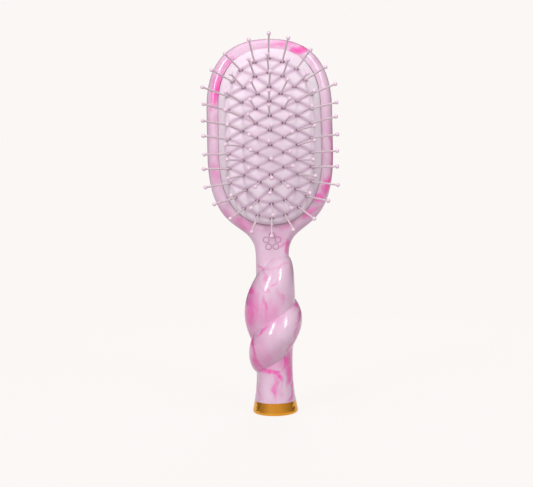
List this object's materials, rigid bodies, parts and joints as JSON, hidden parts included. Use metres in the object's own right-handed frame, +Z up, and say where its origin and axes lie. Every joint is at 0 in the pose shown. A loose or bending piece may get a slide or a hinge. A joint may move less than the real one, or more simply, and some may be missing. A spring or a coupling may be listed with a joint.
{
  "type": "paddle brush",
  "caption": "Cushioned paddle hair brush with a rounded head, leaning ball-tipped pins on a domed rubber pad, a two-strand twisted handle and a flared metal end cap.",
  "frame": {"origin": "centre of the end cap's flat end", "axes": "+Z up the handle from the cap to the head, -Y the way the pins point, +X to the right seen from the pins' side"},
  "size_m": [0.0773, 0.0529, 0.22],
  "materials": {
    "marbled_resin": "polished marbled resin, lilac-white with pink streaks",
    "cushion_rubber": "satin translucent rubber, quilted between the pins",
    "pin_nylon": "smooth nylon pin",
    "tip_resin": "dipped resin ball",
    "gold_plate": "polished gold plate",
    "plug_plastic": "as moulded"
  },
  "bodies": {
    "body": {"paddle_body": "marbled_resin", "end_cap": "gold_plate", "cap_plug": "plug_plastic"},
    "cushion": {"cushion_pad": "cushion_rubber"},
    "column_1": {"pins_column_1": "pin_nylon", "tips_column_1": "tip_resin"},
    "column_2": {"pins_column_2": "pin_nylon", "tips_column_2": "tip_resin"},
    "column_3": {"pins_column_3": "pin_nylon", "tips_column_3": "tip_resin"},
    "column_4": {"pins_column_4": "pin_nylon", "tips_column_4": "tip_resin"},
    "column_5": {"pins_column_5": "pin_nylon", "tips_column_5": "tip_resin"},
    "column_6": {"pins_column_6": "pin_nylon", "tips_column_6": "tip_resin"},
    "column_7": {"pins_column_7": "pin_nylon", "tips_column_7": "tip_resin"}
  },
  "joints": [
    {"name": "cushion_press", "type": "slide", "parent": "body", "child": "cushion", "axis": [0, 1, 0], "range_m": [0, 0.003], "stiffness_N_per_m": 1500, "deforming": ["cushion_pad"]},
    {"name": "column_1_rock", "type": "hinge", "parent": "cushion", "child": "column_1", "pos_m": [-0.0239, -0.01065, 0.1598], "axis": [0, 0, 1], "range_deg": [-8, 8], "stiffness_Nm_per_rad": 0.05},
    {"name": "column_2_rock", "type": "hinge", "parent": "cushion", "child": "column_2", "pos_m": [-0.01593, -0.01293, 0.1598], "axis": [0, 0, 1], "range_deg": [-8, 8], "stiffness_Nm_per_rad": 0.05},
    {"name": "column_3_rock", "type": "hinge", "parent": "cushion", "child": "column_3", "pos_m": [-0.00797, -0.01412, 0.1598], "axis": [0, 0, 1], "range_deg": [-8, 8], "stiffness_Nm_per_rad": 0.05},
    {"name": "column_4_rock", "type": "hinge", "parent": "cushion", "child": "column_4", "pos_m": [0, -0.0143, 0.1598], "axis": [0, 0, 1], "range_deg": [-8, 8], "stiffness_Nm_per_rad": 0.05},
    {"name": "column_5_rock", "type": "hinge", "parent": "cushion", "child": "column_5", "pos_m": [0.00797, -0.01412, 0.1598], "axis": [0, 0, 1], "range_deg": [-8, 8], "stiffness_Nm_per_rad": 0.05},
    {"name": "column_6_rock", "type": "hinge", "parent": "cushion", "child": "column_6", "pos_m": [0.01593, -0.01293, 0.1598], "axis": [0, 0, 1], "range_deg": [-8, 8], "stiffness_Nm_per_rad": 0.05},
    {"name": "column_7_rock", "type": "hinge", "parent": "cushion", "child": "column_7", "pos_m": [0.0239, -0.01065, 0.1598], "axis": [0, 0, 1], "range_deg": [-8, 8], "stiffness_Nm_per_rad": 0.05}
  ]
}
